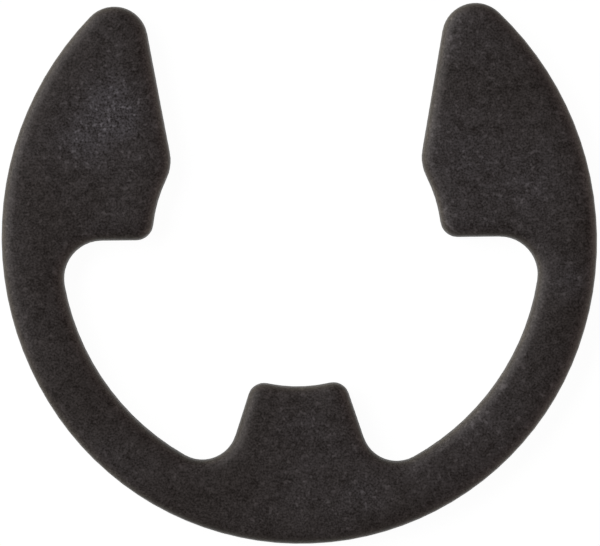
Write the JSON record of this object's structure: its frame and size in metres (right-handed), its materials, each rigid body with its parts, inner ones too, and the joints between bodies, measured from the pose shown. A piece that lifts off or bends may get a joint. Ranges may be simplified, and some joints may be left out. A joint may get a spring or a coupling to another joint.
{
  "type": "e clip retaining ring",
  "caption": "Flat stamped retaining ring with an open mouth; it is pushed sideways into a shaft's groove, where its prongs and tab grip and its faces stop what is on the shaft.",
  "frame": {"origin": "on the shaft's axis, at the level of the clip's lower flat face", "axes": "+Z is the shaft's axis, out of the rolled-edge face; +Y points out through the mouth; +X is across the arms"},
  "size_m": [0.0203, 0.0184, 0.0011],
  "materials": {
    "phosphated_spring_steel": "black phosphate and oil, matt with a fine grain"
  },
  "bodies": {
    "root": {"e_clip": "phosphated_spring_steel"}
  },
  "joints": []
}
